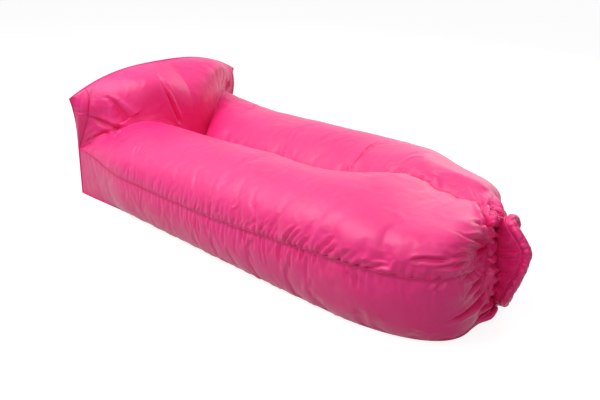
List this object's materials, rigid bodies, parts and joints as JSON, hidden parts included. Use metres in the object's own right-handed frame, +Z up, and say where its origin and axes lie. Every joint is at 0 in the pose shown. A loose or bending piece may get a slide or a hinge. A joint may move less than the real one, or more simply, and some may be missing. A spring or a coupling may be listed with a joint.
{
  "type": "inflatable sofa",
  "caption": "Inflatable lounger with long side-by-side air tubes on a flat base, an upright pillow, and a gathered foot end closed by a rolled and buckled mouth.",
  "frame": {"origin": "on the floor under the middle of the whole sofa's bounding box", "axes": "+X from the pillow end to the closure, +Y to the sofa's left side as seen by a person lying on it with the head on the pillow, +Z up"},
  "size_m": [2.0239, 0.884, 0.5348],
  "materials": {
    "coated_nylon": "thin coated cloth, slightly glossy, hot pink",
    "seam_tape": "matte folded and stitched tape, pink",
    "webbing": "matte black woven strap",
    "buckle_plastic": "satin black moulded plastic"
  },
  "bodies": {
    "air_bag": {"base_panel": "coated_nylon", "side_panel_right": "coated_nylon", "side_panel_left": "coated_nylon", "tube_panel_right": "coated_nylon", "tube_panel_left": "coated_nylon", "pillow_back_panel": "coated_nylon", "pillow_front_panel": "coated_nylon", "pillow_gusset_right": "coated_nylon", "pillow_gusset_left": "coated_nylon", "centre_web": "coated_nylon", "base_seam": "seam_tape", "side_seam_right": "seam_tape", "side_seam_left": "seam_tape", "valley_seam": "seam_tape", "crease_seam": "seam_tape", "pillow_top_seam": "seam_tape", "head_seam_right": "seam_tape", "head_seam_left": "seam_tape", "gusset_seam_right": "seam_tape", "gusset_seam_left": "seam_tape"},
    "closure": {"mouth_skirt": "coated_nylon", "rolled_mouth": "coated_nylon", "mouth_stiffener_inner": "buckle_plastic", "mouth_stiffener_outer": "buckle_plastic", "webbing_upper": "webbing", "webbing_lower": "webbing", "buckle_socket": "buckle_plastic", "buckle_plug": "buckle_plastic"},
    "prong_inner": {"buckle_prong_inner": "buckle_plastic"},
    "prong_outer": {"buckle_prong_outer": "buckle_plastic"}
  },
  "joints": [
    {"name": "closure_swing", "type": "hinge", "parent": "air_bag", "child": "closure", "pos_m": [0.87609, 0, 0.1875], "axis": [0, 0, 1], "range_deg": [-11, 12], "stiffness_Nm_per_rad": 0.05},
    {"name": "prong_inner_squeeze", "type": "hinge", "parent": "closure", "child": "prong_inner", "pos_m": [0.90648, 0.04122, 0.1796], "axis": [-0.2079, 0.9781, 0], "range_deg": [0, 9], "stiffness_Nm_per_rad": 0.05},
    {"name": "prong_outer_squeeze", "type": "hinge", "parent": "closure", "child": "prong_outer", "pos_m": [0.92742, 0.04567, 0.1796], "axis": [0.2079, -0.9781, 0], "range_deg": [0, 9], "stiffness_Nm_per_rad": 0.05}
  ]
}
